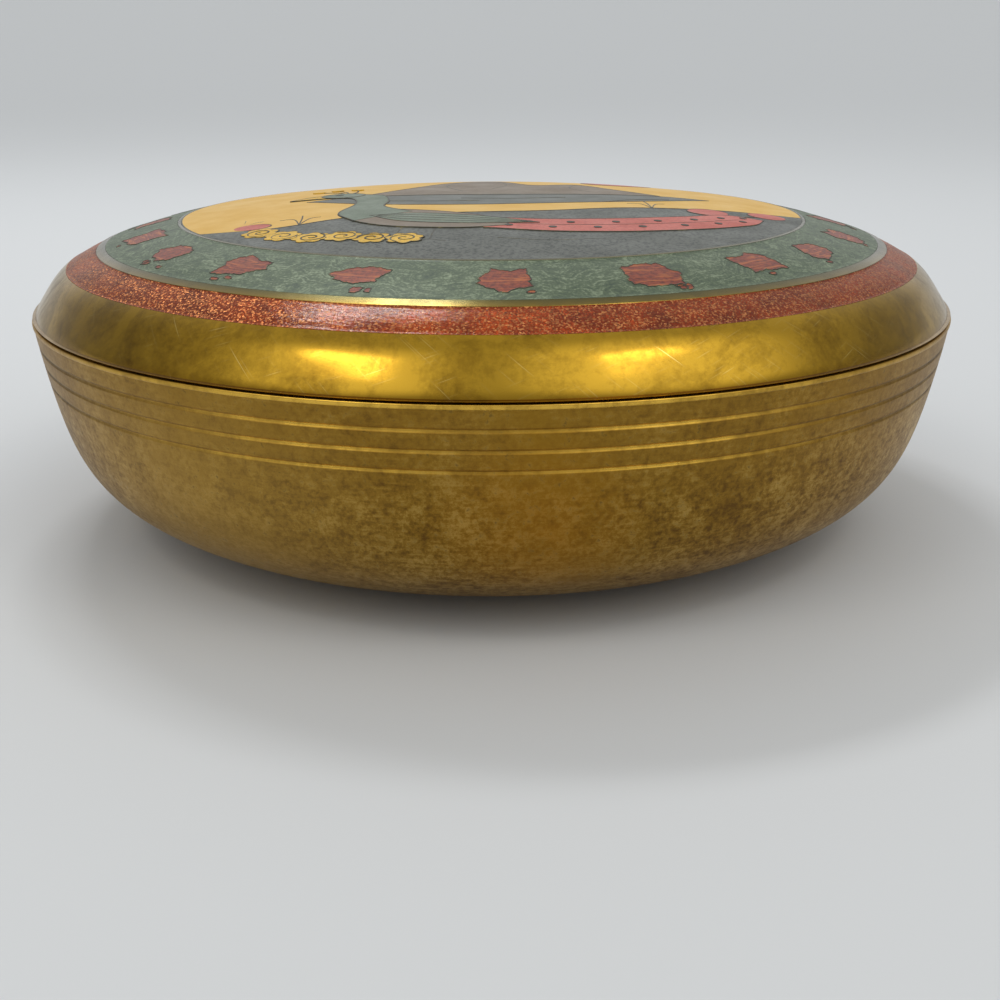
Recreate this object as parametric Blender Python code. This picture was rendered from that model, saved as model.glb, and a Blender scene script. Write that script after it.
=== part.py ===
"""A round, low trinket box of turned brass, about 120 mm across and 42 mm high.

It has five pieces. The base is a bowl with a flat foot, a beaded rim and three turned lines. The lid
is a flat dome that lifts off; a flange under it drops into the base. Three cells are cut in the lid's
top, and an enamel filling of its own lies in each: a red band, a green band and the round picture in
the middle. Metres, +Z up, with the origin at the middle of the foot.
"""

import math

import bmesh
import bpy

MM = 0.001

# Overall form
SEAM_RADIUS = 60.0 * MM  # outer radius of the base and the lid where they meet
BASE_HEIGHT = 28.5 * MM
LID_RISE = 12.85 * MM  # from the lid's lower edge to its top
FOOT_RADIUS = 36.0 * MM
SEGMENTS = 52  # facets round every turned piece

# The base's wall leans in on its way down, then turns under into the foot
WALL_LEAN = 6.0 * MM
LEAN_POWER = 1.2
TURN_POWER = 6.0
TURN_STEPS = 8
BASE_WALL = 1.6 * MM
BASE_FLOOR = 1.8 * MM
FOOT_EDGE = 0.4 * MM  # bevel round the foot

# The bead on the base's rim and the turned lines below it
BEAD_HEIGHT = 0.45 * MM
BEAD_PROUD = 0.12 * MM
BEAD_STEPS = 4
GROOVE_COUNT = 3
GROOVE_FIRST = 2.7 * MM  # from the rim down to the first line
GROOVE_SPACING = 2.2 * MM
GROOVE_WIDTH = 0.45 * MM
GROOVE_DEPTH = 0.2 * MM

# The lid's dome is a superellipse: (radius share) ** OUT_POWER + (height share) ** UP_POWER = 1
OUT_POWER = 2.95
UP_POWER = 1.93
LID_WALL = 1.8 * MM
LID_EDGE = 0.35 * MM  # rounding of the lid's lower edge
SLOPE_STEPS = 6
INSIDE_STEPS = 7
SEAM_GAP = 0.3 * MM  # the dark line between the base's rim and the lid

# The flange under the lid that centres it in the base
FLANGE_DEPTH = 4.0 * MM  # below the base's rim
FLANGE_WALL = 1.2 * MM
FLANGE_CLEARANCE = 0.3 * MM
FLANGE_BEVEL = 0.3 * MM

# Widths across the lid's top, from its edge inwards; the picture takes what is left
SLOPE_WIDTH = 4.55 * MM
RED_WIDTH = 3.8 * MM
RING_WIDTH = 1.2 * MM
GREEN_WIDTH = 9.1 * MM
WIRE_WIDTH = 0.45 * MM
CELL_DEPTH = 0.8 * MM
ENAMEL_GAP = 0.3 * MM  # left round and under each filling
RED_STEPS = 2
GREEN_STEPS = 3
PICTURE_STEPS = 5

# The finishes: colour, metallic, roughness
BASE_BRASS = ("base_brass", (0.20, 0.13, 0.045, 1.0), 1.0, 0.45)
LID_BRASS = ("lid_brass", (0.42, 0.27, 0.055, 1.0), 1.0, 0.25)
RED_ENAMEL = ("enamel_red", (0.26, 0.06, 0.02, 1.0), 0.0, 0.2)
GREEN_ENAMEL = ("enamel_green", (0.17, 0.21, 0.13, 1.0), 0.0, 0.25)
PICTURE_ENAMEL = ("enamel_picture", (0.18, 0.20, 0.18, 1.0), 0.0, 0.25)

SMOOTH_ANGLE = math.radians(25.0)
WELD = 0.001 * MM
HALVINGS = 40
HAIR = 0.0001  # share of the base's height over which the wall's slope is measured

# Worked out from the sizes above
RED_OUTER = SEAM_RADIUS - SLOPE_WIDTH
RED_INNER = RED_OUTER - RED_WIDTH
GREEN_OUTER = RED_INNER - RING_WIDTH
GREEN_INNER = GREEN_OUTER - GREEN_WIDTH
PICTURE_RADIUS = GREEN_INNER - WIRE_WIDTH
TURN = (1.0 - (FOOT_RADIUS / (SEAM_RADIUS - WALL_LEAN)) ** 2) ** (1.0 / TURN_POWER)


def clear_scene():
    """Removes what the scene holds, so that the script gives the same model each run."""
    for thing in list(bpy.data.objects):
        bpy.data.objects.remove(thing)


def finish(name, colour, metallic, roughness):
    """One finish as a Principled material."""
    material = bpy.data.materials.new(name)
    material.use_nodes = True
    shader = material.node_tree.nodes["Principled BSDF"]
    shader.inputs["Base Color"].default_value = colour
    shader.inputs["Metallic"].default_value = metallic
    shader.inputs["Roughness"].default_value = roughness
    return material


def turned_piece(name, profile, closed, look, parent, height):
    """Turns a profile of (radius, height) points about +Z into one solid, placed at a height.

    A closed profile makes a ring. An open one starts and ends on the axis.
    """
    form = bmesh.new()
    points = [form.verts.new((radius, 0.0, level)) for radius, level in profile]
    lines = [form.edges.new(pair) for pair in zip(points, points[1:])]
    if closed:
        lines.append(form.edges.new((points[-1], points[0])))
    bmesh.ops.spin(
        form,
        geom=points + lines,
        cent=(0.0, 0.0, 0.0),
        axis=(0.0, 0.0, 1.0),
        angle=math.tau,
        steps=SEGMENTS,
        use_merge=True,
    )
    bmesh.ops.remove_doubles(form, verts=form.verts, dist=WELD)
    bmesh.ops.recalc_face_normals(form, faces=form.faces)
    mesh = bpy.data.meshes.new(name)
    form.to_mesh(mesh)
    form.free()
    mesh.shade_smooth()
    mesh.set_sharp_from_angle(angle=SMOOTH_ANGLE)
    mesh.materials.append(finish(*look))
    piece = bpy.data.objects.new(name, mesh)
    bpy.context.scene.collection.objects.link(piece)
    piece.parent = parent
    piece.location = (0.0, 0.0, height)
    return piece


def spread(start, end, steps):
    """Evenly spaced values from start to end, both included."""
    return [start + (end - start) * step / steps for step in range(steps + 1)]


def halve(low, high, is_before):
    """The place between low and high where is_before stops being true."""
    for _ in range(HALVINGS):
        middle = (low + high) / 2
        if is_before(middle):
            low = middle
        else:
            high = middle
    return (low + high) / 2


# The base

def wall_point(share):
    """Outer face of the base, a share of the way down from the rim to the foot."""
    lean = WALL_LEAN * share**LEAN_POWER
    turn = math.sqrt(1.0 - (TURN * share) ** TURN_POWER)
    return (SEAM_RADIUS - lean) * turn, BASE_HEIGHT * (1.0 - share)


def wall_inset(share, depth):
    """The point at a depth inside the outer face, square to it."""
    above = wall_point(max(share - HAIR, 0.0))
    below = wall_point(min(share + HAIR, 1.0))
    run = below[0] - above[0]
    fall = above[1] - below[1]
    length = math.hypot(run, fall)
    radius, level = wall_point(share)
    return radius - depth * fall / length, level - depth * run / length


def inside_share(level):
    """How far down the wall its inner face reaches a level."""
    return halve(0.0, 1.0, lambda share: wall_inset(share, BASE_WALL)[1] > level)


def turn_shares():
    """Shares of the way down that follow the turn into the foot in even angles, top to bottom."""
    angles = spread(0.0, math.asin(TURN ** (TURN_POWER / 2)), TURN_STEPS)
    return [math.sin(angle) ** (2 / TURN_POWER) / TURN for angle in angles]


def groove_points():
    """The turned lines, top to bottom: each is a V cut square into the wall."""
    points = []
    for index in range(GROOVE_COUNT):
        depth_down = GROOVE_FIRST + index * GROOVE_SPACING
        upper = (depth_down - GROOVE_WIDTH / 2) / BASE_HEIGHT
        lower = (depth_down + GROOVE_WIDTH / 2) / BASE_HEIGHT
        points.append(wall_point(upper))
        points.append(wall_inset(depth_down / BASE_HEIGHT, GROOVE_DEPTH))
        points.append(wall_point(lower))
    return points


def bead_points():
    """The half-round bead on the rim, top to bottom."""
    points = []
    for angle in spread(0.0, math.pi, BEAD_STEPS):
        level = BASE_HEIGHT - BEAD_HEIGHT * (1.0 - math.cos(angle)) / 2
        radius = wall_point((BASE_HEIGHT - level) / BASE_HEIGHT)[0]
        points.append((radius + BEAD_PROUD * math.sin(angle), level))
    return points


def base_profile():
    """From the axis under the foot, up the outer face, over the rim and down the inner face."""
    grooves_end = (GROOVE_FIRST + GROOVE_COUNT * GROOVE_SPACING) / BASE_HEIGHT
    floor_share = inside_share(BASE_FLOOR)
    shares = turn_shares()
    outer = bead_points() + groove_points()
    outer += [wall_point(share) for share in shares[:-1] if share > grooves_end]
    foot_share = 1.0 - FOOT_EDGE / BASE_HEIGHT
    outer += [wall_point(foot_share), (FOOT_RADIUS - FOOT_EDGE, 0.0), (0.0, 0.0)]
    inner = [(SEAM_RADIUS - BASE_WALL, BASE_HEIGHT)]
    inner += [wall_inset(share, BASE_WALL) for share in shares if 0.0 < share < floor_share]
    inner += [wall_inset(floor_share, BASE_WALL), (0.0, BASE_FLOOR)]
    return outer[::-1] + inner


# The lid, in its own frame: height 0 is its lower edge

def dome_level(radius):
    """Height of the lid's top face at a radius."""
    share = min(radius / SEAM_RADIUS, 1.0)
    return LID_RISE * (1.0 - share**OUT_POWER) ** (1.0 / UP_POWER)


def dome_point(angle, depth=0.0):
    """A point of the dome, or at a depth square under it; angle 0 is the top and a right angle the edge."""
    out = math.sin(angle) ** (2 / OUT_POWER)
    up = math.cos(angle) ** (2 / UP_POWER)
    slope_out = OUT_POWER * out ** (OUT_POWER - 1) / SEAM_RADIUS
    slope_up = UP_POWER * up ** (UP_POWER - 1) / LID_RISE
    length = math.hypot(slope_out, slope_up)
    radius = SEAM_RADIUS * out - depth * slope_out / length
    level = LID_RISE * up - depth * slope_up / length
    return radius, level


def dome_angle(radius, depth=0.0):
    """The angle at which the dome, or the face at a depth under it, reaches a radius."""
    return halve(0.0, math.pi / 2, lambda angle: dome_point(angle, depth)[0] < radius)


def flange_radius():
    """Outer radius of the flange: the base's inner face at the flange's foot, less the clearance."""
    share = inside_share(BASE_HEIGHT - FLANGE_DEPTH)
    return wall_inset(share, BASE_WALL)[0] - FLANGE_CLEARANCE


def sunk_points(inner, outer, steps, depth):
    """Points straight under the dome by a depth, from the inner radius to the outer one."""
    return [(radius, dome_level(radius) - depth) for radius in spread(inner, outer, steps)]


def slope_points():
    """The plain brass slope from the red band's cell down to the rounded lower edge."""
    edge_centre = SEAM_RADIUS - LID_EDGE
    last = halve(0.0, math.pi / 2, lambda angle: dome_point(angle)[1] > LID_EDGE)
    points = [dome_point(angle) for angle in spread(dome_angle(RED_OUTER), last, SLOPE_STEPS)]
    middle = LID_EDGE * (1.0 - math.sqrt(0.5))
    return points + [(SEAM_RADIUS - middle, middle), (edge_centre, 0.0)]


def flange_points():
    """Down the flange's outer face, across its foot and up its inner face."""
    outer = flange_radius()
    foot = -SEAM_GAP - FLANGE_DEPTH
    return [
        (outer, 0.0),
        (outer, foot + FLANGE_BEVEL),
        (outer - FLANGE_BEVEL, foot),
        (outer - FLANGE_WALL, foot),
    ]


def lid_profile():
    """From the top's middle out over the cells and the slope, then back along the inside."""
    top = sunk_points(0.0, PICTURE_RADIUS, PICTURE_STEPS, CELL_DEPTH)
    top += sunk_points(PICTURE_RADIUS, GREEN_INNER, 1, 0.0)
    top += sunk_points(GREEN_INNER, GREEN_OUTER, GREEN_STEPS, CELL_DEPTH)
    top += sunk_points(GREEN_OUTER, RED_INNER, 1, 0.0)
    top += sunk_points(RED_INNER, RED_OUTER, RED_STEPS, CELL_DEPTH)
    inside_start = dome_angle(flange_radius() - FLANGE_WALL, LID_WALL)
    inside = [dome_point(angle, LID_WALL) for angle in spread(inside_start, 0.0, INSIDE_STEPS)]
    return top + slope_points() + flange_points() + inside


# The enamel fillings, in the lid's frame

def band_profile(inner, outer, steps):
    """A ring of enamel, flush with the dome and clear of its cell's sides and floor."""
    top = sunk_points(inner + ENAMEL_GAP, outer - ENAMEL_GAP, steps, 0.0)
    under = sunk_points(inner + ENAMEL_GAP, outer - ENAMEL_GAP, steps, CELL_DEPTH - ENAMEL_GAP)
    return top + under[::-1]


def picture_profile():
    """The round filling in the middle, from the axis on top to the axis below."""
    top = sunk_points(0.0, PICTURE_RADIUS - ENAMEL_GAP, PICTURE_STEPS, 0.0)
    under = sunk_points(0.0, PICTURE_RADIUS - ENAMEL_GAP, PICTURE_STEPS, CELL_DEPTH - ENAMEL_GAP)
    return top + under[::-1]


def build():
    """Makes the box: the base, the lid resting over it, and the enamel in the lid."""
    clear_scene()
    box = bpy.data.objects.new("trinket_box", None)
    bpy.context.scene.collection.objects.link(box)
    turned_piece("base", base_profile(), False, BASE_BRASS, box, 0.0)
    lid = turned_piece("lid", lid_profile(), False, LID_BRASS, box, BASE_HEIGHT + SEAM_GAP)
    red = band_profile(RED_INNER, RED_OUTER, RED_STEPS)
    turned_piece("enamel_red_band", red, True, RED_ENAMEL, lid, 0.0)
    green = band_profile(GREEN_INNER, GREEN_OUTER, GREEN_STEPS)
    turned_piece("enamel_green_band", green, True, GREEN_ENAMEL, lid, 0.0)
    turned_piece("enamel_picture", picture_profile(), False, PICTURE_ENAMEL, lid, 0.0)


build()
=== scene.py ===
"""The looks of a round, low trinket box of turned brass with an enamelled lid.

The box stands on a pale floor in soft light. Everything is in metres, +Z up, with the origin at the
middle of the foot and the viewer at -Y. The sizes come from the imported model. The new pieces are
surfaces worked out as whole arrays: turned profiles, ruled patches laid on the dome, and wires.
"""

import math

import bmesh
import bpy
import numpy as np
from bpy.props import FloatProperty, FloatVectorProperty, IntProperty, PointerProperty
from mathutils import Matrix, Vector


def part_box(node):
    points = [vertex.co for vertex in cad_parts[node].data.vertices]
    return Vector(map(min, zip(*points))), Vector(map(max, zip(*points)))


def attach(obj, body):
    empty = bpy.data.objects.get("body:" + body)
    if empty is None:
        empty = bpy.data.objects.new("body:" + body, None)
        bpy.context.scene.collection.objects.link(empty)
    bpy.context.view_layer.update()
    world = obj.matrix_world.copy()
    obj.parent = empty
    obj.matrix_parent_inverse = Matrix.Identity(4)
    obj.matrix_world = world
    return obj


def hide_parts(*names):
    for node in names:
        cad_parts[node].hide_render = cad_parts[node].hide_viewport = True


bl_info = {
    "name": "Enamelled brass trinket box",
    "version": (1, 0, 0),
    "blender": (4, 5, 0),
    "location": "View3D > Sidebar > Trinket Box",
    "description": "Builds the turned brass, the enamel and the stage of a round lidded box",
    "category": "Object",
}

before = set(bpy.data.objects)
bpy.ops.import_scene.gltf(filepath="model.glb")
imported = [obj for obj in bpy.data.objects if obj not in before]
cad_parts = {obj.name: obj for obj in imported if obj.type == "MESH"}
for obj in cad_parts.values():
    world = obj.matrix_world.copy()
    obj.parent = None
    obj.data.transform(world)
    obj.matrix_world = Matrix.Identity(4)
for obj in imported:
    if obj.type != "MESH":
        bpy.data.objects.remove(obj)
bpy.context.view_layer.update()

MM = 0.001

# Sizes that the frame settles
FILL_GAP = 0.3 * MM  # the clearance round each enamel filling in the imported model
SEAM_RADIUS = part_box("lid")[1].x
BASE_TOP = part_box("base")[1].z
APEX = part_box("enamel_picture")[1].z
FLANGE_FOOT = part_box("lid")[0].z
RED_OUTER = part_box("enamel_red_band")[1].x + FILL_GAP
GREEN_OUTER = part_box("enamel_green_band")[1].x + FILL_GAP
PICTURE_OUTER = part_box("enamel_picture")[1].x + FILL_GAP


def linear(code):
    """An sRGB hex colour such as #B08D57 as linear red, green and blue."""
    shares = np.array([int(code[place:place + 2], 16) for place in (1, 3, 5)]) / 255
    return tuple(np.where(shares <= 0.04045, shares / 12.92, ((shares + 0.055) / 1.055) ** 2.4))


def length_property(name, description, default):
    """A length in metres for the sidebar."""
    return FloatProperty(
        name=name, description=description, default=default, min=0.0, unit="LENGTH", precision=5
    )


def colour_property(name, description, code):
    """A colour for the sidebar."""
    return FloatVectorProperty(
        name=name, description=description, default=linear(code), size=3, min=0.0, max=1.0,
        subtype="COLOR",
    )


class BoxSizes(bpy.types.PropertyGroup):
    """Sizes of the brass and the enamel."""

    seam_gap: length_property("Seam gap", "Dark line between base and lid", 0.16 * MM)
    wall_lean: length_property("Wall lean", "How far the base's wall draws in by the foot", 6.0 * MM)
    foot_radius: length_property("Foot radius", "Radius of the flat foot", 36.0 * MM)
    foot_edge: length_property("Foot edge", "Bevel round the foot", 0.4 * MM)
    base_wall: length_property("Base wall", "Thickness of the base's wall", 1.6 * MM)
    base_floor: length_property("Base floor", "Thickness of the base's floor", 1.8 * MM)
    lid_wall: length_property("Lid wall", "Thickness of the lid", 1.8 * MM)
    shoulder_cut: length_property("Shoulder cut", "How far the lid's shoulder is cut back", 0.85 * MM)
    lid_edge: length_property("Lid edge", "Rounding of the lid's lower edge", 0.25 * MM)
    bead_height: length_property("Bead height", "Height of the bead on the base's rim", 0.55 * MM)
    bead_proud: length_property("Bead proud", "How far the bead stands out", 0.12 * MM)
    groove_first: length_property("First line", "From the rim to the first turned line", 2.7 * MM)
    groove_spacing: length_property("Line spacing", "Between the turned lines", 2.2 * MM)
    groove_width: length_property("Line width", "Width of a turned line", 0.55 * MM)
    groove_depth: length_property("Line depth", "Depth of a turned line", 0.16 * MM)
    groove_count: IntProperty(name="Lines", description="Turned lines on the base", default=3, min=0)
    flange_wall: length_property("Flange wall", "Thickness of the lid's flange", 1.2 * MM)
    flange_clearance: length_property("Flange clearance", "Between flange and base", 0.3 * MM)
    flange_bevel: length_property("Flange bevel", "Bevel on the flange's foot", 0.3 * MM)
    red_width: length_property("Red band", "Width of the red enamel band", 3.8 * MM)
    green_width: length_property("Green band", "Width of the green enamel band", 9.1 * MM)
    cell_depth: length_property("Cell depth", "Depth of the cells in the lid", 0.6 * MM)
    band_sink: length_property("Band sink", "How far the bands' enamel lies below the brass", 0.1 * MM)
    picture_sink: length_property("Picture sink", "How far the picture lies below the brass", 0.24 * MM)
    layer: length_property("Layer", "Height of one colour above the colour under it", 0.022 * MM)
    motif_count: IntProperty(name="Motifs", description="Red motifs on the green band", default=20, min=0)
    motif_width: length_property("Motif width", "Width of a red motif along the band", 6.6 * MM)
    motif_depth: length_property("Motif depth", "Size of a red motif across the band", 5.5 * MM)
    wire_width: length_property("Wire width", "Width of the wires between the colours", 0.34 * MM)


class BoxColours(bpy.types.PropertyGroup):
    """Colours of the brass and the enamel."""

    patina_light: colour_property("Patina, light", "Rubbed brass of the base", "#BF9C50")
    patina_dark: colour_property("Patina, dark", "Stained brass of the base", "#6F5020")
    brass: colour_property("Brass", "Polished brass of the lid", "#B48E2C")
    tarnish: colour_property("Tarnish", "Brown tarnish on the lid", "#755819")
    red: colour_property("Red enamel", "Copper-red ground of the outer band", "#8C3409")
    spark: colour_property("Glitter", "Bright flakes in the red enamel", "#F2A868")
    green: colour_property("Green enamel", "Mean colour of the green band", "#4B5A40")
    motif: colour_property("Motif red", "Red-brown patches on the green band", "#863818")
    yellow: colour_property("Yellow enamel", "Sky and field of the picture", "#D8AE4E")
    slate: colour_property("Slate enamel", "Bank and lake of the picture", "#636660")
    mauve: colour_property("Mauve enamel", "Hills and bird of the picture", "#7E7160")
    coral: colour_property("Coral enamel", "Tail and sun of the picture", "#C2685A")
    leaf: colour_property("Leaf enamel", "Neck and wing of the bird", "#6F7B6A")
    gold: colour_property("Gold enamel", "Blossoms of the picture", "#DCB030")
    line: colour_property("Line", "Dark lines in the enamel", "#3A382C")


# Shared values of the forms
LEAN_POWER = 1.2
TURN_POWER = 6.0
OUT_POWER = 2.95
UP_POWER = 1.93
SHOULDER_HEIGHT = 0.2  # share of the rise at which the shoulder is cut back most
SHOULDER_REACH = 0.2
MENISCUS_POWER = 14
CELL_EDGE = 0.05 * MM  # bevel of the brass round a cell
TIGHT = 0.01 * MM  # between an enamel filling and the brass round it
ROOT_DEPTH = 0.9  # share of a cell's depth to which the layers of colour go down
BAND_WIRE = 0.65  # width of the band's wires as a share of the picture's
BAND_WIRE_LIFT = -0.05 * MM
PICTURE_WIRE_LIFT = 0.03 * MM

# Fineness of the meshes
ROUND_STEPS = 384
FINE_STEPS = 4001  # stations of a curve in which values are looked up
WIRE_SIDES = 6
LAYER_RINGS = 6
HAIR = 1e-5  # the step over which a slope is taken
NOTHING = 1e-12  # keeps a division by a length away from zero
SMOOTH_ANGLE = math.radians(32)
WELD = 1e-7
SEED = 7


def sizes():
    """The size settings of the scene."""
    return bpy.context.scene.trinket_box_sizes


def colours():
    """The colour settings of the scene."""
    return bpy.context.scene.trinket_box_colours


# Meshes from arrays

def unroll(mesh, lean):
    """A UV map in metres: across is the angle from the front times the seam's radius, up is the height
    plus the lean times the radius, so a pattern runs round the box however the surface curves."""
    corner = np.empty(len(mesh.loops), np.int32)
    mesh.loops.foreach_get("vertex_index", corner)
    place = np.empty(3 * len(mesh.vertices), np.float32)
    mesh.vertices.foreach_get("co", place)
    place = place.reshape(-1, 3)[corner]
    first = np.empty(len(mesh.polygons), np.int32)
    total = np.empty(len(mesh.polygons), np.int32)
    mesh.polygons.foreach_get("loop_start", first)
    mesh.polygons.foreach_get("loop_total", total)
    angle = np.arctan2(place[:, 0], -place[:, 1])
    lead = np.repeat(angle[first], total)
    angle = lead + (angle - lead + math.pi) % math.tau - math.pi
    up = place[:, 2] + lean * np.hypot(place[:, 0], place[:, 1])
    layer = mesh.uv_layers.new(name="unrolled")
    layer.data.foreach_set("uv", np.stack([angle * SEAM_RADIUS, up], -1).astype(np.float32).ravel())


def make_piece(name, shape, material, replaces=(), lean=-1.0, wear_glint_and_dark=None):
    """A closed piece from its shape, the points and the faces, facing outwards and riding on the box.

    Where a brightness mark for the points is given, it is kept on them: 1 for metal painted bright, a
    painted highlight over brass polished by use, and -1 for metal painted darker."""
    mesh = bpy.data.meshes.new(name)
    mesh.from_pydata(shape[0], [], shape[1])
    if wear_glint_and_dark is not None:
        kept = mesh.attributes.new("wear_glint_and_dark", "FLOAT", "POINT")
        kept.data.foreach_set("value", wear_glint_and_dark.astype(np.float32))
    form = bmesh.new()
    form.from_mesh(mesh)
    bmesh.ops.remove_doubles(form, verts=form.verts, dist=WELD)
    bmesh.ops.dissolve_degenerate(form, edges=form.edges, dist=WELD)
    bmesh.ops.recalc_face_normals(form, faces=form.faces)
    form.to_mesh(mesh)
    form.free()
    unroll(mesh, lean)
    mesh.shade_smooth()
    mesh.set_sharp_from_angle(angle=SMOOTH_ANGLE)
    mesh.materials.append(material)
    piece = bpy.data.objects.new(name, mesh)
    bpy.context.scene.collection.objects.link(piece)
    if replaces:
        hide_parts(*replaces)
    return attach(piece, "root")


def grid_faces(rows, columns, first_closed, second_closed, start=0):
    """Quads over a grid of rows by columns, joined end to end in each direction that closes."""
    index = np.arange(rows * columns).reshape(rows, columns) + start
    if first_closed:
        index = np.vstack([index, index[:1]])
    if second_closed:
        index = np.hstack([index, index[:, :1]])
    corners = [index[:-1, :-1], index[1:, :-1], index[1:, 1:], index[:-1, 1:]]
    return np.stack(corners, -1).reshape(-1, 4).tolist()


def merged(solids):
    """Points and faces of several solids. Each is (sections, closed): closed sections carried along a
    way, as an array of stations by points by 3, with flat ends where the way is open."""
    points = []
    faces = []
    for sections, closed in solids:
        start = sum(len(part) for part in points)
        stations, around = sections.shape[:2]
        faces += grid_faces(stations, around, closed, True, start)
        if not closed:
            last = start + (stations - 1) * around
            faces += [list(range(start, start + around)), list(range(last, last + around))]
        points.append(sections.reshape(-1, 3))
    return np.concatenate(points), faces


def full_turn(count):
    """Angles evenly round a full turn."""
    return np.linspace(0, math.tau, count, endpoint=False)


def turned(profile, closed):
    """A profile of (radius, height) points carried round +Z: x = r sin a, y = -r cos a, z = height."""
    angle = full_turn(ROUND_STEPS)[:, None]
    radius, level = np.asarray(profile).T
    levels = np.broadcast_to(level, (ROUND_STEPS, len(level)))
    points = np.stack([radius * np.sin(angle), -radius * np.cos(angle), levels], -1)
    return points.reshape(-1, 3), grid_faces(ROUND_STEPS, len(level), True, closed)


def curve_through(points, count):
    """A Catmull-Rom curve: a cubic between each two points, its slope at each set by its neighbours."""
    points = np.asarray(points, float)
    ends = np.vstack([2 * points[0] - points[1], points, 2 * points[-1] - points[-2]])
    place = np.linspace(0, len(points) - 1, count)
    index = np.minimum(place.astype(int), len(points) - 2)
    t = (place - index)[:, None]
    a, b, c, d = (ends[index + step] for step in range(4))
    return b + 0.5 * t * ((c - a) + t * ((2 * a - 5 * b + 4 * c - d) + t * (3 * (b - c) + d - a)))


def right_of(steps):
    """Unit steps in a plane, square to the steps of a way and to their right: (y, -x)."""
    steps = steps / np.maximum(np.linalg.norm(steps, axis=-1, keepdims=True), NOTHING)
    return np.stack([steps[..., 1], -steps[..., 0]], -1)


# The two outlines of the brass

def dome_curve(start, end, count, depth=0.0):
    """Points of the dome between two angles, 0 at the top and a right angle at the edge, or at a
    depth square under it. With the radius share o = sin^(2 / 2.95) and the height share
    u = cos^(2 / 1.93), a superellipse, the shoulder is cut back: r = o (R - c exp(-((u - m) / w)^2)),
    with R the seam's radius, c the cut, m its height and w its reach."""
    low = BASE_TOP + sizes().seam_gap

    def place(angle):
        up = np.cos(angle) ** (2 / UP_POWER)
        cut = sizes().shoulder_cut * np.exp(-(((up - SHOULDER_HEIGHT) / SHOULDER_REACH) ** 2))
        out = np.sin(angle) ** (2 / OUT_POWER) * (SEAM_RADIUS - cut)
        return np.stack([out, low + (APEX - low) * up], -1)

    angle = np.linspace(start, end, count)
    steps = place(np.minimum(angle + HAIR, math.pi / 2)) - place(np.maximum(angle - HAIR, 0))
    return place(angle) + depth * right_of(steps)


def dome(radius):
    """Height of the lid's top at a radius."""
    radii, heights = dome_curve(0, math.pi / 2, FINE_STEPS).T
    return np.interp(radius, radii, heights)


def dome_angle(radius, depth=0.0):
    """The angle at which the dome, or the face at a depth under it, reaches a radius."""
    angle = np.linspace(0, math.pi / 2, FINE_STEPS)
    return np.interp(radius, dome_curve(0, math.pi / 2, FINE_STEPS, depth)[:, 0], angle)


def enamel_top(radius, inner, outer, sink):
    """Height of a filling between two radii: the dome less a sink that runs out at the brass as a
    meniscus does, dome(r) - sink (1 - |s|^14), with s from -1 to 1 across the cell."""
    radius = np.asarray(radius)
    if inner == 0:
        share = radius / outer
    else:
        share = (2 * radius - inner - outer) / (outer - inner)
    return dome(radius) - TIGHT - sink * (1 - np.clip(np.abs(share), 0, 1) ** MENISCUS_POWER)


def wall(share):
    """Outer face of the base, a share of the way down: (R - lean s^1.2) sqrt(1 - (k s)^6)."""
    settings = sizes()
    share = np.asarray(share, float)
    foot = settings.foot_radius / (SEAM_RADIUS - settings.wall_lean)
    turn = (1 - foot**2) ** (1 / TURN_POWER)
    leaning = SEAM_RADIUS - settings.wall_lean * share**LEAN_POWER
    return np.stack([leaning * np.sqrt(1 - (turn * share) ** TURN_POWER), BASE_TOP * (1 - share)], -1)


def wall_inset(share, depth):
    """The wall moved inwards by a depth, square to itself."""
    share = np.asarray(share, float)
    steps = wall(np.minimum(share + HAIR, 1)) - wall(np.maximum(share - HAIR, 0))
    return wall(share) + np.asarray(depth)[..., None] * right_of(steps)


def base_profile():
    """The base's outline from the axis under the foot, up the outside, over the rim and down inside,
    and the share of each of its points in a turned line and in the bead.

    A turned line is cut by d (1 - |2 x / w|^1.5), and the bead is half an ellipse."""
    settings = sizes()
    foot_share = 1 - settings.foot_edge / BASE_TOP
    bead_share = settings.bead_height / BASE_TOP
    # Shares of the way down, from the foot up to the bead and close together at the turned lines
    share = np.concatenate([
        np.linspace(foot_share, 0.5, 44),
        np.linspace(0.5, 0.3, 8)[1:],
        np.linspace(0.3, bead_share, 136)[1:],
    ])
    cut = np.zeros_like(share)
    for index in range(settings.groove_count):
        centre = settings.groove_first + index * settings.groove_spacing
        across = 2 * (share * BASE_TOP - centre) / settings.groove_width
        cut = np.maximum(cut, np.clip(1 - np.abs(across) ** 1.5, 0, 1))
    outside = wall_inset(share, settings.groove_depth * cut)
    turn = np.linspace(0, math.pi, 10)[1:]
    down = settings.bead_height * (1 + np.cos(turn)) / 2
    bead = wall(down / BASE_TOP)
    bead[:, 0] += settings.bead_proud * np.sin(turn)
    inner_share = np.linspace(0, 1, 200)
    inner = wall_inset(inner_share, settings.base_wall)
    floor_share = np.interp(-settings.base_floor, -inner[:, 1], inner_share)
    inside_share = floor_share * np.sin(np.linspace(0, math.pi / 2, 40)) ** 0.7
    inside = wall_inset(inside_share[1:], settings.base_wall)
    foot = [(0.0, 0.0), (settings.foot_radius - settings.foot_edge, 0.0)]
    rim = [(SEAM_RADIUS - settings.base_wall, BASE_TOP)]
    profile = np.concatenate([foot, outside, bead, rim, inside, [(0.0, settings.base_floor)]])
    lines_end = len(foot) + len(share)
    bead_end = lines_end + len(bead) + len(rim)
    in_line = np.zeros(len(profile))
    in_line[len(foot):lines_end] = np.minimum(1, 1.6 * cut)
    in_bead = np.zeros(len(profile))
    in_bead[lines_end:bead_end] = 1
    return profile, in_line, in_bead


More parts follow.
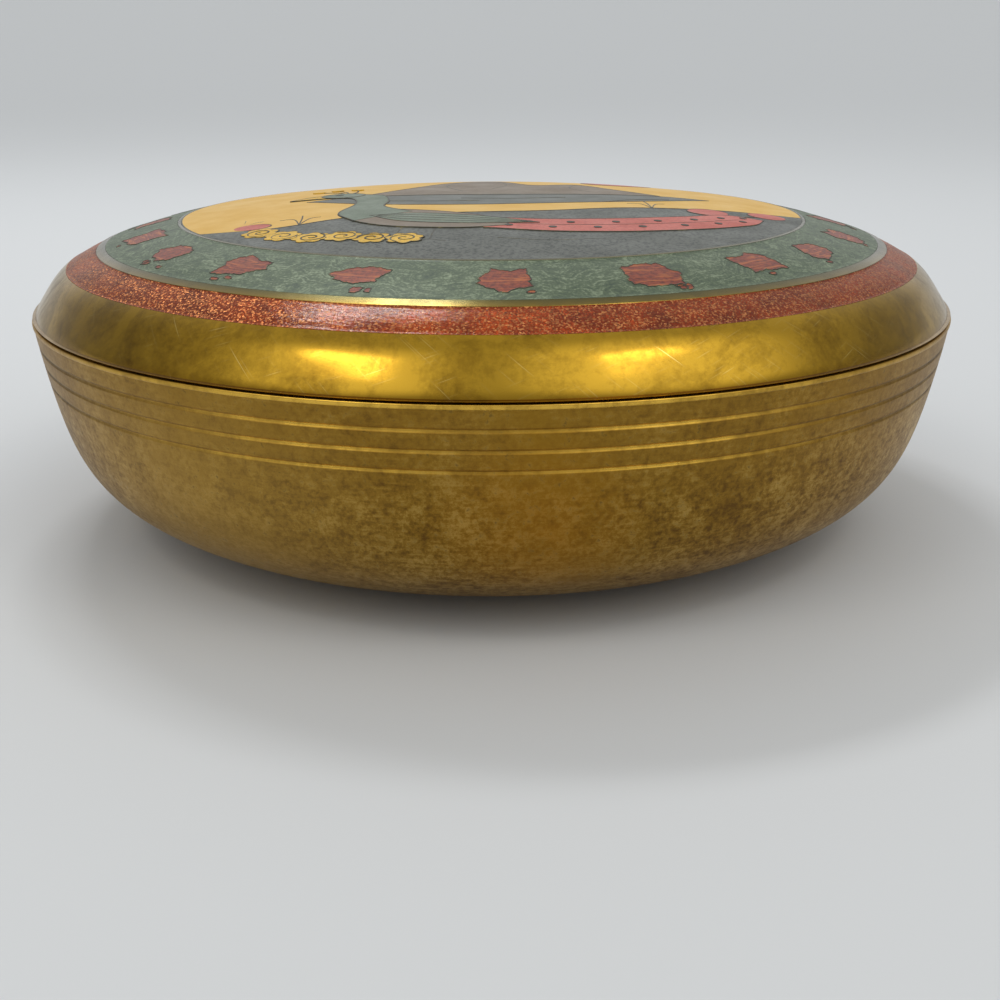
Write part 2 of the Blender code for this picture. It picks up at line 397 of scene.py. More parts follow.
def glint_and_dark_by_angle(angle):
    """How bright or dark the turned lines and the bead are painted at angles from the front, 1 bright and -1
    darker.

    With a the degrees from the front or the back, whichever is nearer, the lines get a painted highlight of
    0.95 exp(-((a - 17) / 13)^2) and are painted darker by 0.6 past 38 degrees. The bead is brightened by
    0.45 + 0.5 exp(-((a - 12) / 20)^2), less at the ends: brass polished by use all round, with a painted
    highlight near the front."""
    off = np.abs(np.degrees((angle + math.pi) % math.tau - math.pi))
    off = np.minimum(off, 180 - off)
    ends = np.clip((off - 38) / 24, 0, 1)
    lines = 0.95 * np.exp(-(((off - 17) / 13) ** 2)) - 0.6 * ends
    bead = 0.45 + 0.5 * np.exp(-(((off - 12) / 20) ** 2)) - 0.2 * ends
    return lines, bead


def cell(inner, outer, count):
    """The floor of a cell in the lid, with the small bevels of its brass edges."""
    radius = np.linspace(inner, outer, count)
    floor = np.stack([radius, dome(radius) - sizes().cell_depth], -1)
    start = []
    if inner > 0:
        start = [(inner - CELL_EDGE, dome(inner - CELL_EDGE)), (inner, dome(inner) - CELL_EDGE)]
    end = [(outer, dome(outer) - CELL_EDGE), (outer + CELL_EDGE, dome(outer + CELL_EDGE))]
    return np.concatenate([np.reshape(start, (-1, 2)), floor, end])


def lid_profile():
    """The lid's outline from the middle of its top, over the cells and the slope, and back inside."""
    settings = sizes()
    low = BASE_TOP + settings.seam_gap
    edge = settings.lid_edge
    fine = dome_curve(0, math.pi / 2, FINE_STEPS)
    last = np.interp(-(low + edge), -fine[:, 1], np.linspace(0, math.pi / 2, FINE_STEPS))
    slope = dome_curve(dome_angle(RED_OUTER + CELL_EDGE), last, 60)[1:]
    turn = np.linspace(0, math.pi / 2, 7)[1:]
    rounding = np.stack([SEAM_RADIUS - edge + edge * np.cos(turn), low + edge - edge * np.sin(turn)], -1)
    inner_wall = wall_inset(np.linspace(0, 1, 400), settings.base_wall)
    outer = np.interp(-FLANGE_FOOT, -inner_wall[:, 1], inner_wall[:, 0]) - settings.flange_clearance
    inner = outer - settings.flange_wall
    bevel = settings.flange_bevel
    flange = [
        (outer, low),
        (outer, FLANGE_FOOT + bevel),
        (outer - bevel, FLANGE_FOOT),
        (inner, FLANGE_FOOT),
    ]
    inside = dome_curve(dome_angle(inner, settings.lid_wall), 0, 40, settings.lid_wall)
    return np.concatenate([
        cell(0, PICTURE_OUTER, 24),
        cell(GREEN_OUTER - settings.green_width, GREEN_OUTER, 12),
        cell(RED_OUTER - settings.red_width, RED_OUTER, 8),
        slope,
        rounding,
        flange,
        inside,
    ])


def filling_profile(inner, outer, count, sink):
    """The closed outline of a filling: its top and a flat-lying underside."""
    share = np.sin(np.linspace(0 if inner == 0 else -math.pi / 2, math.pi / 2, count))
    if inner == 0:
        radius = (outer - TIGHT) * share
    else:
        radius = (inner + outer) / 2 + share * ((outer - inner) / 2 - TIGHT)
    top = np.stack([radius, enamel_top(radius, inner, outer, sink)], -1)
    under = np.stack([radius, dome(radius) - sizes().cell_depth + TIGHT], -1)
    return np.concatenate([top, under[::-1]])


# Lines and patches laid on the dome

def laid(plan, limits, sink):
    """Places (x, y) laid on the enamel of the cell between two radii."""
    level = enamel_top(np.linalg.norm(plan, axis=-1), *limits, sink)
    return np.concatenate([plan, level[..., None]], -1)


def backed(plan, limits, sink):
    """A strip of places laid on the enamel, closed by an underside sunk in it."""
    top = laid(plan, limits, sink)
    under = laid(plan[:, [-1, 0]], limits, ROOT_DEPTH * sizes().cell_depth)
    return np.concatenate([top, under], axis=1)


def patch(low, high, rows, limits, sink):
    """A ruled patch between two curves: the place at (s, t) is (1 - t) low(s) + t high(s)."""
    t = np.linspace(0, 1, rows)[None, :, None]
    return backed(low[:, None] * (1 - t) + high[:, None] * t, limits, sink), False


def island(outline, limits, sink):
    """A closed outline filled towards its middle: the place at (s, t) is m + t (outline(s) - m)."""
    middle = outline.mean(axis=0)
    t = np.linspace(0, 1, LAYER_RINGS)[None, :, None]
    return backed(middle + t * (outline[:, None] - middle), limits, sink), True


def wire(plan, closed, width, lift):
    """A round wire along a way (x, y) on the dome, its top at a lift above the brass: the way plus
    r (cos b n + sin b z), with n square to the way."""
    level = dome(np.linalg.norm(plan, axis=-1)) + lift - width / 2
    way = np.concatenate([plan, level[:, None]], -1)
    if closed:
        steps = np.roll(plan, -1, axis=0) - np.roll(plan, 1, axis=0)
    else:
        steps = np.gradient(plan, axis=0)
    side = np.pad(right_of(steps), ((0, 0), (0, 1)))[:, None]
    turn = full_turn(WIRE_SIDES)[None, :, None]
    ring = np.cos(turn) * side + np.sin(turn) * np.array([0, 0, 1.0])
    return way[:, None] + width / 2 * ring, closed


def rays(angle):
    """Unit steps in plan at angles anticlockwise from the right."""
    return np.stack([np.cos(angle), np.sin(angle)], -1)


def spun(places, centre, turn):
    """Places turned anticlockwise by an angle and moved to a centre."""
    spin = np.array([[math.cos(turn), math.sin(turn)], [-math.sin(turn), math.cos(turn)]])
    return np.asarray(centre) + places @ spin


def oval(centre, half, turn=0.0):
    """An ellipse in plan, turned by an angle."""
    return spun(np.asarray(half) * rays(full_turn(32)), centre, turn)


def petals(centre, radius, count, turn):
    """The outline of a blossom: its radius is r (0.86 + 0.24 |sin(n a / 2)|)."""
    angle = full_turn(70)
    reach = radius * (0.86 + 0.24 * np.abs(np.sin(count * (angle - turn) / 2)))
    return np.asarray(centre) + reach[:, None] * rays(angle)


def torn_outline(rng, centre, half, turn, count=120):
    """A torn, squarish outline: straight runs between a few corners drawn at random near the oblong
    1 = max(|x|, |y|), with small waves on them."""
    corners = rng.integers(8, 12)
    angle = full_turn(corners) + rng.uniform(-0.22, 0.22, corners)
    square = 1 / np.maximum(np.abs(np.cos(angle)), np.abs(np.sin(angle)))
    reach = (0.35 + 0.65 * square) * rng.uniform(0.68, 1.14, corners)
    points = reach[:, None] * rays(angle)
    place = np.linspace(0, corners, count, endpoint=False)
    whole = place.astype(int)
    t = (place - whole)[:, None]
    run = points[whole] * (1 - t) + points[(whole + 1) % corners] * t
    for waves, size in ((7, 0.05), (13, 0.035), (31, 0.02)):
        run = run * (1 + size * np.sin(waves * full_turn(count) + rng.uniform(0, math.tau)))[:, None]
    return spun(run * np.asarray(half), centre, turn)


# Materials

def result(value):
    """The first output in use where a value is a node, and otherwise the value itself."""
    if isinstance(value, bpy.types.Node):
        return next(socket for socket in value.outputs if socket.enabled)
    return value


def add(tree, kind, inputs=(), stops=(), **settings):
    """Adds a node of a kind such as TexNoise. Its inputs are values, sockets or nodes, by name or in the
    order of those in use, and its stops are a ramp's places and colours."""
    node = tree.nodes.new("ShaderNode" + kind)
    for name, value in settings.items():
        setattr(node, name, value)
    if isinstance(inputs, dict):
        pairs = [(node.inputs[name], value) for name, value in inputs.items()]
    else:
        pairs = zip([socket for socket in node.inputs if socket.enabled], inputs)
    for socket, value in pairs:
        if isinstance(value, (bpy.types.Node, bpy.types.NodeSocket)):
            tree.links.new(result(value), socket)
        else:
            socket.default_value = (*value, 1.0) if socket.type == "RGBA" else value
    for index, (place, colour) in enumerate(stops):
        stop = node.color_ramp.elements[index] if index < 2 else node.color_ramp.elements.new(place)
        stop.position = place
        stop.color = (*colour, 1.0)
    return node


def socket_name(key):
    """The shader's own name of a socket, such as Specular IOR Level for specular_ior_level."""
    return key.replace("_", " ").title().replace("Ior", "IOR")


def new_material(name, **constants):
    """A material with its Principled shader set, its nodes, and the piece's own two sets of coordinates
    in metres: its place, and the unrolled one of its UV map."""
    material = bpy.data.materials.new(name)
    material.use_nodes = True
    tree = material.node_tree
    shader = tree.nodes["Principled BSDF"]
    for key, value in constants.items():
        shader.inputs[socket_name(key)].default_value = value
    coordinates = add(tree, "TexCoord")
    return material, tree, coordinates.outputs["Object"], coordinates.outputs["UV"]


def finish(tree, **nodes):
    """Links nodes to the shader's inputs."""
    shader = tree.nodes["Principled BSDF"]
    for key, node in nodes.items():
        tree.links.new(result(node), shader.inputs[socket_name(key)])


def per(size):
    """A pattern scale that gives features of a size in metres."""
    return 1.0 / size


def patinated_brass():
    """Cast brass, turned and left to dull: khaki metal mottled by brown oxide, with a painted highlight on
    its bead and in its turned lines, over brass polished by use on the bead, and faint streaks from the
    lathe."""
    tones = colours()
    material, tree, place, unrolled = new_material("patinated cast brass", metallic=0.95)
    clouds = add(tree, "TexNoise", {
        "Vector": place, "Scale": per(17 * MM), "Detail": 4.0, "Roughness": 0.6, "Distortion": 0.5,
    })
    mottle = add(tree, "TexNoise", {
        "Vector": place, "Scale": per(2.8 * MM), "Detail": 9.0, "Roughness": 0.74, "Distortion": 0.3,
    })
    along = add(tree, "Mapping", {"Vector": unrolled, "Scale": (per(7 * MM), per(0.5 * MM), 1.0)})
    streaks = add(tree, "TexNoise", {"Vector": along, "Scale": 1.0, "Detail": 4.0, "Roughness": 0.6})
    pits = add(tree, "TexNoise", {"Vector": place, "Scale": per(0.7 * MM), "Detail": 5.0, "Roughness": 0.75})
    shifted = add(tree, "Mapping", {"Vector": place, "Location": (0.3, 0.1, 0.2)})
    warmth = add(tree, "TexNoise", {
        "Vector": shifted, "Scale": per(24 * MM), "Detail": 5.0, "Roughness": 0.65, "Distortion": 0.8,
    })
    broad = add(tree, "Mix", (0.65, clouds, mottle))
    grainy = add(tree, "Mix", (0.5, broad, pits))
    lined = add(tree, "Mix", (0.12, grainy, streaks))
    # The band round the turned lines is cleaner than the bowl below it
    parts = add(tree, "SeparateXYZ", (place,))
    clean = add(tree, "MapRange", (parts.outputs["Z"], 16 * MM, 23 * MM, 0.0, 0.5))
    tone = add(tree, "Mix", (clean, lined, 0.485))
    ground = add(tree, "ValToRGB", (tone,), stops=[
        (0.42, tones.patina_dark),
        (0.575, tones.patina_light),
        (0.5, linear("#967229")),
    ])
    warm_mask = add(tree, "MapRange", (warmth, 0.5, 0.66, 0.0, 0.55))
    # A paler area low on the left, polished where the box is held
    off_pale = add(tree, "VectorMath", (place, (-30 * MM, -44 * MM, 10 * MM)), operation="DISTANCE")
    pale_share = add(tree, "MapRange", (off_pale, 6 * MM, 27 * MM, 1.0, 0.0))
    pale = add(tree, "Math", (pale_share, grainy), operation="MULTIPLY")
    # A painted highlight: one broad golden patch below the lines, a little right of the front
    away = add(tree, "VectorMath", (place, (5 * MM, -57 * MM, 15 * MM)), operation="DISTANCE")
    near = add(tree, "MapRange", (away, 2 * MM, 12 * MM, 0.95, 0.0))
    front_glint = add(tree, "Math", (near, mottle), operation="MULTIPLY")
    pit_mask = add(tree, "MapRange", (pits, 0.57, 0.7, 0.0, 0.7))
    # The lines and the bead: a painted highlight, on the bead over brass polished by use, and the lines
    # painted darker towards the box's sides
    glint_attribute = add(tree, "Attribute", attribute_name="wear_glint_and_dark")
    kept = add(tree, "MapRange", (broad, 0.42, 0.54, 0.45, 1.0))
    bright_share = add(tree, "Math", (glint_attribute.outputs["Fac"], 0.0), operation="MAXIMUM")
    wear_glint_and_dark = add(tree, "Math", (bright_share, kept), operation="MULTIPLY")
    lines_darkened = add(tree, "MapRange", (glint_attribute.outputs["Fac"], -1.0, 0.0, 1.0, 0.0))
    colour = ground
    for share, tint in (
        (warm_mask, linear("#96701F")),
        (pale, tones.patina_light),
        # painted highlight: the golden patch at the front
        (front_glint, linear("#A87014")),
        (pit_mask, linear("#4E3C1C")),
        # the turned lines painted darker towards the sides
        (lines_darkened, linear("#4A3A18")),
        # painted highlight on the turned lines and the bead
        (wear_glint_and_dark, linear("#EBBD4E")),
    ):
        colour = add(tree, "Mix", (share, colour, tint), data_type="RGBA")
    dull = add(tree, "MapRange", (tone, 0.4, 0.6, 0.5, 0.36))
    rough = add(tree, "Mix", (wear_glint_and_dark, dull, 0.2))
    relief = add(tree, "Mix", (0.4, pits, streaks))
    bump = add(tree, "Bump", {"Height": relief, "Strength": 0.2, "Distance": 0.06 * MM})
    finish(tree, base_color=colour, roughness=rough, normal=bump)
    return material


def polished_brass():
    """Polished brass, turned and buffed: clear reflections under smudges, hair-fine scratches, and darker
    brass towards the lid's lower edge by the seam and against the enamel."""
    tones = colours()
    material, tree, place, unrolled = new_material("polished turned brass", metallic=1.0)
    smudges = add(tree, "TexNoise", {
        "Vector": place, "Scale": per(9 * MM), "Detail": 6.0, "Roughness": 0.62, "Distortion": 1.0,
    })
    fine = add(tree, "TexNoise", {"Vector": place, "Scale": per(0.9 * MM), "Detail": 5.0, "Roughness": 0.7})
    tone = add(tree, "Mix", (0.3, smudges, fine))
    ground = add(tree, "ValToRGB", (tone,), stops=[(0.32, tones.tarnish), (0.56, tones.brass)])
    # Scratches in two directions, 0.15 mm wide so that they show
    lines = []
    for turn, length in ((0.9, 9 * MM), (-0.5, 5 * MM)):
        way = add(tree, "Mapping", {"Vector": unrolled, "Rotation": (0.0, 0.0, turn)})
        drawn = add(tree, "Mapping", {"Vector": way, "Scale": (per(length), per(0.15 * MM), 1.0)})
        noise = add(tree, "TexNoise", {"Vector": drawn, "Scale": 1.0, "Detail": 0.0}, noise_dimensions="2D")
        lines.append(add(tree, "MapRange", (noise, 0.82, 0.95, 0.0, 0.3)))
    scratch = add(tree, "Math", lines, operation="MAXIMUM")
    parts = add(tree, "SeparateXYZ", (place,))
    low = BASE_TOP + sizes().seam_gap
    # The lid darker towards its lower edge by the seam
    lower_edge_dark = add(tree, "MapRange", (parts.outputs["Z"], low + 0.1 * MM, low + 1.0 * MM, 0.5, 0.0))
    # The brass between the two bands, dulled most beside the green one
    flat = add(tree, "VectorMath", (place, (1.0, 1.0, 0.0)), operation="MULTIPLY")
    radius = add(tree, "VectorMath", (flat,), operation="LENGTH")
    from_green = add(
        tree, "MapRange", (radius, GREEN_OUTER + 0.1 * MM, RED_OUTER - sizes().red_width, 0.95, 0.6)
    )
    within = add(tree, "Math", (radius, RED_OUTER - 1 * MM), operation="LESS_THAN")
    corner = add(tree, "Math", (from_green, within), operation="MULTIPLY")
    colour = ground
    for share, tint in ((scratch, "#F2DE9C"), (lower_edge_dark, "#7A5614"), (corner, "#54502C")):
        colour = add(tree, "Mix", (share, colour, linear(tint)), data_type="RGBA")
    rough = add(tree, "MapRange", (tone, 0.35, 0.6, 0.26, 0.13))
    bump = add(tree, "Bump", {"Height": fine, "Strength": 0.08, "Distance": 0.03 * MM})
    finish(tree, base_color=colour, roughness=rough, normal=bump)
    return material


def glitter_enamel():
    """Copper-red enamel with metal flakes under a clear top: each flake catches the light its own way,
    and the top is a little streaky, so a window in it breaks up."""
    tones = colours()
    material, tree, place, unrolled = new_material(
        "glitter enamel", metallic=0.75, roughness=0.45, specular_ior_level=0.1,
        specular_tint=(1.0, 0.6, 0.42, 1.0), coat_weight=0.36, coat_roughness=0.1,
    )
    # Flakes of 0.17 mm, coarser than real glitter so that they show
    flakes = add(tree, "TexVoronoi", {"Vector": place, "Scale": per(0.17 * MM)})
    pick = add(tree, "SeparateColor", (flakes.outputs["Color"],))
    clouds = add(tree, "TexNoise", {"Vector": place, "Scale": per(4 * MM), "Detail": 4.0})
    colour = add(tree, "ValToRGB", (clouds,), stops=[(0.35, linear("#662208")), (0.65, tones.red)])
    for part, tint in (("Red", tones.spark), ("Green", linear("#481604"))):
        share = add(tree, "MapRange", (pick.outputs[part], 0.6, 1.0, 0.0, 0.6))
        colour = add(tree, "Mix", (share, colour, tint), data_type="RGBA")
    tilt = add(tree, "VectorMath", (flakes.outputs["Color"], (0.5, 0.5, 0.5)), operation="SUBTRACT")
    spread = add(tree, "VectorMath", (tilt, 0.6), operation="SCALE")
    facing = add(tree, "NewGeometry")
    leaned = add(tree, "VectorMath", (facing.outputs["Normal"], spread), operation="ADD")
    normal = add(tree, "VectorMath", (leaned,), operation="NORMALIZE")
    along = add(tree, "Mapping", {"Vector": unrolled, "Scale": (per(2.2 * MM), per(0.9 * MM), 1.0)})
    streaks = add(tree, "TexNoise", {"Vector": along, "Scale": 1.0, "Detail": 5.0, "Roughness": 0.6})
    top = add(tree, "Bump", {"Height": streaks, "Strength": 0.25, "Distance": 0.25 * MM})
    finish(tree, base_color=colour, normal=normal, coat_normal=top)
    return material


def pearl_enamel():
    """Grey-green enamel with mother-of-pearl powder, stirred while wet: pale and dark streaks curl
    round each other like brush marks, under a glossy top."""
    tones = colours()
    material, tree, place, unrolled = new_material(
        "pearly swirled enamel", metallic=0.15, roughness=0.45, specular_ior_level=0.2,
        coat_weight=0.12, coat_roughness=0.2,
    )
    swirl = add(tree, "TexNoise", {
        "Vector": unrolled, "Scale": per(8 * MM), "Detail": 2.0, "Roughness": 0.5,
    })
    tilt = add(tree, "VectorMath", (swirl.outputs["Color"], (0.5, 0.5, 0.5)), operation="SUBTRACT")
    push = add(tree, "VectorMath", (tilt, 13 * MM), operation="SCALE")
    pushed = add(tree, "VectorMath", (unrolled, push), operation="ADD")
    along = add(tree, "Mapping", {"Vector": pushed, "Scale": (per(3.4 * MM), per(0.5 * MM), 1.0)})
    brush = add(tree, "TexNoise", {
        "Vector": along, "Scale": 1.0, "Detail": 6.0, "Roughness": 0.62, "Distortion": 0.4,
    }, noise_dimensions="2D")
    clouds = add(tree, "TexNoise", {
        "Vector": place, "Scale": per(3.4 * MM), "Detail": 6.0, "Roughness": 0.6, "Distortion": 2.0,
    })
    grain = add(tree, "TexNoise", {"Vector": place, "Scale": per(0.3 * MM), "Detail": 2.0, "Roughness": 0.6})
    curls = add(tree, "Mix", (0.45, brush, clouds))
    tone = add(tree, "Mix", (0.36, curls, grain))
    ramp = add(tree, "ValToRGB", (tone,), stops=[
        (0.36, linear("#2F4030")),
        (0.67, linear("#88957A")),
        (0.5, tones.green),
    ])
    bump = add(tree, "Bump", {"Height": tone, "Strength": 0.3, "Distance": 0.12 * MM})
    finish(tree, base_color=ramp, normal=bump)
    return material


def streaked_enamel():
    """Red-brown enamel with gold-brown streaks that run along the band, as its powder was laid."""
    tones = colours()
    material, tree, place, unrolled = new_material(
        "streaked red enamel", metallic=0.15, roughness=0.4, specular_ior_level=0.2,
        coat_weight=0.1, coat_roughness=0.2,
    )
    along = add(tree, "Mapping", {"Vector": unrolled, "Scale": (per(4.5 * MM), per(0.62 * MM), 1.0)})
    streaks = add(tree, "TexNoise", {"Vector": along, "Scale": 1.0, "Detail": 3.0, "Distortion": 0.8})
    mottle = add(tree, "TexNoise", {
        "Vector": place, "Scale": per(0.5 * MM), "Detail": 4.0, "Roughness": 0.7,
    })
    mask = add(tree, "MapRange", (streaks, 0.52, 0.64, 0.0, 0.6))
    ground = add(tree, "ValToRGB", (mottle,), stops=[(0.36, linear("#581808")), (0.6, tones.motif)])
    colour = add(tree, "Mix", (mask, ground, linear("#B8682C")), data_type="RGBA")
    bump = add(tree, "Bump", {"Height": streaks, "Strength": 0.3, "Distance": 0.1 * MM})
    finish(tree, base_color=colour, normal=bump)
    return material


def opaque_enamel(name, tone, shade, grain, strength):
    """Opaque enamel of one colour: faintly uneven, with a darker grain and a gloss dulled by use."""
    material, tree, place, _ = new_material(
        name, specular_ior_level=0.15, coat_weight=0.05, coat_roughness=0.25
    )
    clouds = add(tree, "TexNoise", {"Vector": place, "Scale": per(6 * MM), "Detail": 5.0, "Roughness": 0.6})
    specks = add(tree, "TexNoise", {"Vector": place, "Scale": per(grain), "Detail": 2.0, "Roughness": 0.7})
    uneven = add(tree, "MapRange", (clouds, 0.35, 0.65, 0.0, 0.25))
    ground = add(tree, "Mix", (uneven, tone, shade), data_type="RGBA")
    speck_mask = add(tree, "MapRange", (specks, 0.45, 0.65, 0.0, strength))
    colour = add(tree, "Mix", (speck_mask, ground, shade), data_type="RGBA")
    rough = add(tree, "MapRange", (clouds, 0.3, 0.7, 0.36, 0.52))
    bump = add(tree, "Bump", {"Height": specks, "Strength": 0.12, "Distance": 0.06 * MM})
    finish(tree, base_color=colour, roughness=rough, normal=bump)
    return material


def dull_wire():
    """Thin brass partitions between the colours, gone almost black, with clean brass here and there."""
    material, tree, place, _ = new_material(
        "tarnished brass wire", metallic=0.3, roughness=0.42, specular_ior_level=0.2
    )
    wear = add(tree, "TexNoise", {"Vector": place, "Scale": per(2.2 * MM), "Detail": 4.0, "Roughness": 0.65})
    tone = add(tree, "ValToRGB", (wear,), stops=[(0.52, colours().line), (0.74, linear("#80764E"))])
    finish(tree, base_color=tone)
    return material


# The operators, one for each piece or group of like pieces

class MakeBase(bpy.types.Operator):
    """Turns the bowl-shaped base with its bead and lines"""

    bl_idname = "trinket_box.make_base"
    bl_label = "Base"

    def execute(self, context):
        profile, in_line, in_bead = base_profile()
        # A painted highlight on the turned lines and the bead, and the lines painted darker towards the
        # sides
        lines, bead = glint_and_dark_by_angle(full_turn(ROUND_STEPS))
        wear_glint_and_dark = (np.outer(lines, in_line) + np.outer(bead, in_bead)).ravel()
        bowl = turned(profile, False)
        make_piece("base_bowl", bowl, patinated_brass(), ["base"], 1.0, wear_glint_and_dark)
        return {"FINISHED"}


class MakeLid(bpy.types.Operator):
    """Turns the domed lid with its cells and flange"""

    bl_idname = "trinket_box.make_lid"
    bl_label = "Lid"

    def execute(self, context):
        make_piece("lid_dome", turned(lid_profile(), False), polished_brass(), ["lid"])
        return {"FINISHED"}


class MakeRedBand(bpy.types.Operator):
    """Fills the outer cell with glitter enamel"""

    bl_idname = "trinket_box.make_red_band"
    bl_label = "Red band"

    def execute(self, context):
        settings = sizes()
        profile = filling_profile(RED_OUTER - settings.red_width, RED_OUTER, 24, settings.band_sink)
        band = turned(profile, True)
        make_piece("glitter_band", band, glitter_enamel(), ["enamel_red_band"])
        return {"FINISHED"}


# Where the motifs stand in front, in degrees from the front and positive to the right
FRONT_MOTIFS = (-71.0, -53.0, -35.4, -17.2, 1.8, 21.5, 39.3, 54.8, 72.5)


class MakeGreenBand(bpy.types.Operator):
    """Fills the middle cell with pearly enamel and sets the torn red motifs in it"""

    bl_idname = "trinket_box.make_green_band"
    bl_label = "Green band and motifs"

    def execute(self, context):
        settings = sizes()
        limits = (GREEN_OUTER - settings.green_width, GREEN_OUTER)
        band = turned(filling_profile(*limits, 40, settings.band_sink), True)
        make_piece("pearl_band", band, pearl_enamel(), ["enamel_green_band"])
        rng = np.random.default_rng(SEED)
        half = np.array([settings.motif_width, settings.motif_depth]) / 2
        spare = max(0, settings.motif_count - len(FRONT_MOTIFS))
        rest = np.linspace(FRONT_MOTIFS[-1], 360 + FRONT_MOTIFS[0], spare + 2)[1:-1]
        outlines = []
        for azimuth in np.radians(np.concatenate([FRONT_MOTIFS, rest])):
            out = np.array([math.sin(azimuth), -math.cos(azimuth)])
            across = np.array([math.cos(azimuth), math.sin(azimuth)])
            centre = (sum(limits) / 2 + rng.uniform(-0.4, 0.3) * MM) * out
            outlines.append(torn_outline(rng, centre, half * rng.uniform(0.86, 1.06, 2), azimuth))
            for _ in range(rng.integers(1, 4)):
                speck = centre + rng.uniform(-1.0, 1.0) * half[0] * across
                speck = speck + rng.uniform(0.95, 1.2) * half[1] * out
                outlines.append(torn_outline(rng, speck, rng.uniform(0.10, 0.22, 2) * half, azimuth, 36))
        sink = settings.band_sink - settings.layer
        width = BAND_WIRE * settings.wire_width
        islands = merged([island(outline, limits, sink) for outline in outlines])
        make_piece("band_motifs", islands, streaked_enamel())
        wires = merged([wire(outline, True, width, BAND_WIRE_LIFT) for outline in outlines])
        make_piece("band_motif_wires", wires, dull_wire())
        return {"FINISHED"}


# The picture's drawing, in shares of its radius: right and up as seen from the front.
# Each patch lies between two curves, given by a few of their points.
CURVE_STEPS = 120
HORIZON = [
    (-0.85, -0.52), (-0.62, -0.54), (-0.40, -0.44), (-0.12, -0.40),
    (0.16, -0.36), (0.40, -0.27), (0.66, -0.22), (0.985, -0.16),
]
LAKE_NEAR = [(-0.60, -0.06), (-0.36, -0.19), (-0.05, -0.22), (0.28, -0.16), (0.52, -0.08), (0.72, 0.04)]
LAKE_FAR = [(-0.60, -0.06), (-0.40, 0.04), (-0.05, 0.06), (0.28, 0.07), (0.52, 0.08), (0.72, 0.04)]
HILL_FOOT = [(-0.44, 0.03), (-0.20, 0.05), (0.10, 0.06), (0.30, 0.07), (0.56, 0.08)]
HILL_TOP = [
    (-0.44, 0.03), (-0.30, 0.26), (-0.12, 0.56), (0.02, 0.60),
    (0.14, 0.40), (0.30, 0.44), (0.42, 0.26), (0.56, 0.08),
]
BODY_UNDER = [(-0.43, -0.34), (-0.42, -0.48), (-0.30, -0.61), (-0.10, -0.66), (0.06, -0.63)]
BODY_BACK = [(-0.43, -0.34), (-0.32, -0.32), (-0.16, -0.38), (-0.02, -0.48), (0.06, -0.63)]
NECK_FRONT = [(-0.40, -0.52), (-0.46, -0.38), (-0.43, -0.20), (-0.45, -0.04), (-0.53, 0.02)]
NECK_BACK = [(-0.24, -0.38), (-0.33, -0.26), (-0.33, -0.12), (-0.36, 0.04), (-0.45, 0.10)]
WING_UNDER = [(-0.36, -0.44), (-0.26, -0.55), (-0.08, -0.60), (0.14, -0.59)]
WING_BACK = [(-0.36, -0.44), (-0.22, -0.42), (-0.04, -0.48), (0.14, -0.59)]
TAIL_UNDER = [(-0.02, -0.66), (0.18, -0.70), (0.40, -0.67), (0.62, -0.57), (0.78, -0.44), (0.83, -0.34)]
TAIL_BACK = [(-0.02, -0.50), (0.16, -0.53), (0.38, -0.49), (0.58, -0.40), (0.72, -0.31), (0.83, -0.34)]
BEAK_UNDER = [(-0.53, 0.01), (-0.58, 0.00), (-0.66, -0.02)]
BEAK_BACK = [(-0.53, 0.08), (-0.60, 0.06), (-0.66, -0.02)]
BLOSSOMS = [
    (-0.66, -0.60), (-0.585, -0.665), (-0.50, -0.71),
    (-0.41, -0.72), (-0.325, -0.755), (-0.235, -0.775),
]
TUFTS = [(-0.80, -0.50), (-0.73, -0.53), (-0.56, -0.52), (0.50, -0.25), (0.93, -0.17)]
BANK_LINES = [
    [(0.02, -0.78), (0.16, -0.80), (0.30, -0.77), (0.46, -0.76), (0.62, -0.70)],
    [(0.24, -0.88), (0.34, -0.86), (0.42, -0.86)],
    [(-0.16, -0.86), (-0.02, -0.88), (0.10, -0.90)],
]
# Ripples on the lake and folds of the hills
FAR_LINES = [
    [(0.66, -0.46), (0.78, -0.30), (0.93, -0.25)],
    [(0.36, -0.14), (0.46, -0.06), (0.58, -0.02)],
    [(-0.40, -0.10), (-0.20, -0.13), (-0.04, -0.12)],
    [(-0.10, -0.05), (0.08, -0.06), (0.24, -0.03)],
    [(-0.12, 0.56), (-0.16, 0.34), (-0.10, 0.16)],
    [(0.02, 0.60), (0.05, 0.40), (0.00, 0.24)],
    [(0.30, 0.44), (0.27, 0.28), (0.33, 0.16)],
]
CREST = [(-0.60, 0.24), (-0.54, 0.28), (-0.47, 0.28)]
HEAD = (-0.495, 0.065)
# Two shrubs in front, one at the left and the sun: their middles and half their sizes
CORAL_SPOTS = [
    ((0.67, -0.27), (0.065, 0.060)),
    ((0.86, -0.235), (0.060, 0.052)),
    ((-0.70, -0.50), (0.055, 0.040)),
    ((0.46, 0.62), (0.13, 0.13)),
]


def rim_arc(start, end, share=0.997):
    """An arc of the picture's rim between two angles in degrees, anticlockwise from the right."""
    return share * rays(np.radians(np.linspace(start, end, CURVE_STEPS)))


def curl(centre, radius, turns, lean):
    """A spiral line: its radius grows evenly with its angle."""
    grow = np.linspace(0.15, 1, 48)
    return np.asarray(centre) + radius * grow[:, None] * rays(lean + turns * math.tau * grow)


